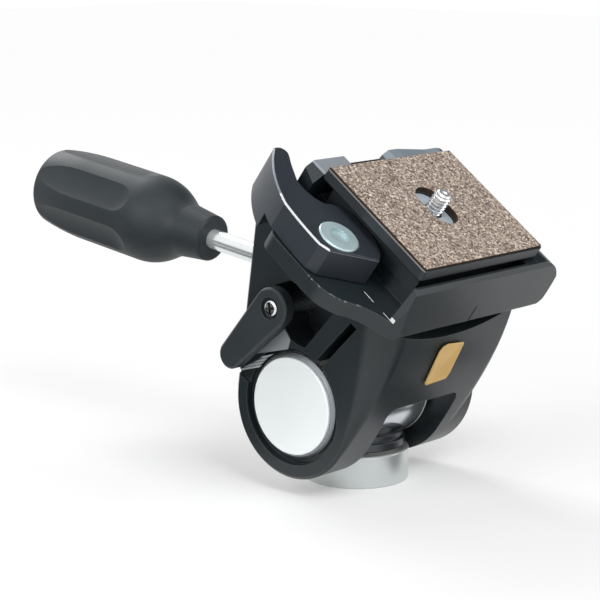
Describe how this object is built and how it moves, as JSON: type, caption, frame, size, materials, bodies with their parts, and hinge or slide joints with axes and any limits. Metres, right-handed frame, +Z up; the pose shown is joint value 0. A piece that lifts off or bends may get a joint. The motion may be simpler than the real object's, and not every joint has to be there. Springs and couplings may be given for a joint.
{
  "type": "tripod head",
  "caption": "One-handle pan and tilt tripod head with a quick-release plate, side locking levers and a fluted grip.",
  "frame": {"origin": "centre of the base's underside, in the mouth of the tripod thread", "axes": "+Z up along the pan axis; +X from the silver end disc towards the plain side, along the tilt axis; the handle points to +Y. At rest the head is tilted 36.5 degrees forward about +X."},
  "size_m": [0.1043, 0.2121, 0.1203],
  "materials": {
    "silver_satin": "fine satin anodised silver",
    "black_cast": "satin black paint over a cast body",
    "chrome": "polished chrome",
    "disc": "pale satin silver",
    "steel": "plain turned steel",
    "brass": "plain brass",
    "nylon": "matte bearing plastic",
    "grip_rubber": "matte dark rubber",
    "black_plastic": "matte black plastic",
    "cork": "granular cork, matte",
    "plate_metal": "satin black paint over a cast plate"
  },
  "bodies": {
    "base": {"base": "silver_satin", "tripod_bush": "brass", "pan_bolt": "steel", "pan_washer": "nylon", "pan_spring_washers": "steel", "pan_nut": "steel"},
    "turret": {"pan_foot": "steel", "tilt_drum": "chrome", "drum_end_disc": "disc"},
    "head": {"housing": "black_cast", "drum_liner": "nylon", "journal_bush": "nylon", "clamp_nut": "steel", "brake_shoe": "brass", "clamp_platform": "black_cast", "platform_screws": "steel", "lever_pivot_screw": "steel", "lever_spring": "steel"},
    "handle": {"handle_rod": "chrome", "handle_collar": "black_plastic", "handle_grip": "grip_rubber", "grip_end_cap": "black_plastic"},
    "wing": {"wing_lever": "black_cast", "wing_screw": "chrome", "cam_shaft": "steel"},
    "lever": {"release_lever": "black_cast"},
    "plate": {"quick_plate": "plate_metal", "cork_pad": "cork"},
    "stud": {"camera_screw": "steel", "screw_clip": "steel"}
  },
  "joints": [
    {"name": "pan", "type": "hinge", "parent": "base", "child": "turret", "pos_m": [0, 0, 0.0124], "axis": [0, 0, 1], "continuous": true},
    {"name": "tilt", "type": "hinge", "parent": "turret", "child": "head", "pos_m": [0, 0, 0.0319], "axis": [1, 0, 0], "range_deg": [-66, 38]},
    {"name": "handle_twist", "type": "hinge", "parent": "head", "child": "handle", "pos_m": [0, 0.05078, 0.07557], "axis": [0, 0.989, 0.1478], "range_deg": [-30, 60]},
    {"name": "wing_turn", "type": "hinge", "parent": "head", "child": "wing", "pos_m": [-0.0394, 0.00422, 0.06637], "axis": [1, 0, 0], "range_deg": [-50, 50]},
    {"name": "lever_open", "type": "hinge", "parent": "head", "child": "lever", "pos_m": [-0.0435, -0.02506, 0.09048], "axis": [0, -0.5948, 0.8039], "range_deg": [0, 60], "stiffness_Nm_per_rad": 0.05, "springref_deg": -28.65},
    {"name": "plate_release", "type": "slide", "parent": "head", "child": "plate", "axis": [0, -0.5948, 0.8039], "range_m": [0, 0.016]},
    {"name": "camera_screw_turn", "type": "hinge", "parent": "plate", "child": "stud", "pos_m": [0, -0.02984, 0.09441], "axis": [0, -0.5948, 0.8039], "continuous": true}
  ]
}
